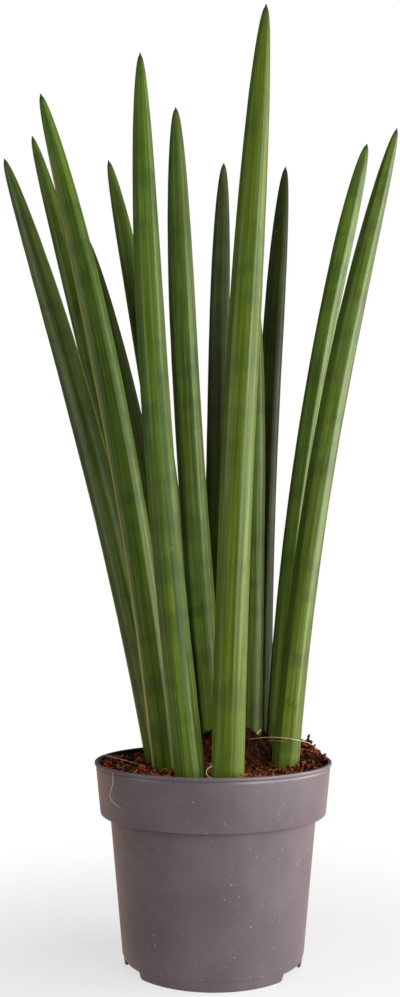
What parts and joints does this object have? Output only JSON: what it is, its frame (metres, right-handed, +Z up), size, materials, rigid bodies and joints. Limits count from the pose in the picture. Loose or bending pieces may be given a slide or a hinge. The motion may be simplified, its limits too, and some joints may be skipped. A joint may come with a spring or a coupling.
{
  "type": "potted cylindrical snake plant",
  "caption": "Tall round ribbed pointed leaves standing fanned out in mounded soil in a round tapered nursery pot with a deep collar.",
  "frame": {"origin": "middle of the flat standing disc under the pot", "axes": "+Z up along the pot's axis, -Y towards the front, +X to the right seen from the front"},
  "size_m": [0.3001, 0.2121, 0.6416],
  "materials": {
    "pot_plastic": "satin",
    "soil": "matte",
    "leaf": "satin"
  },
  "bodies": {
    "root": {"pot": "pot_plastic", "soil": "soil", "leaf_01": "leaf", "leaf_02": "leaf", "leaf_03": "leaf", "leaf_04": "leaf", "leaf_05": "leaf", "leaf_06": "leaf", "leaf_07": "leaf", "leaf_08": "leaf", "leaf_09": "leaf", "leaf_10": "leaf", "leaf_11": "leaf", "leaf_12": "leaf", "leaf_13": "leaf"}
  },
  "joints": []
}
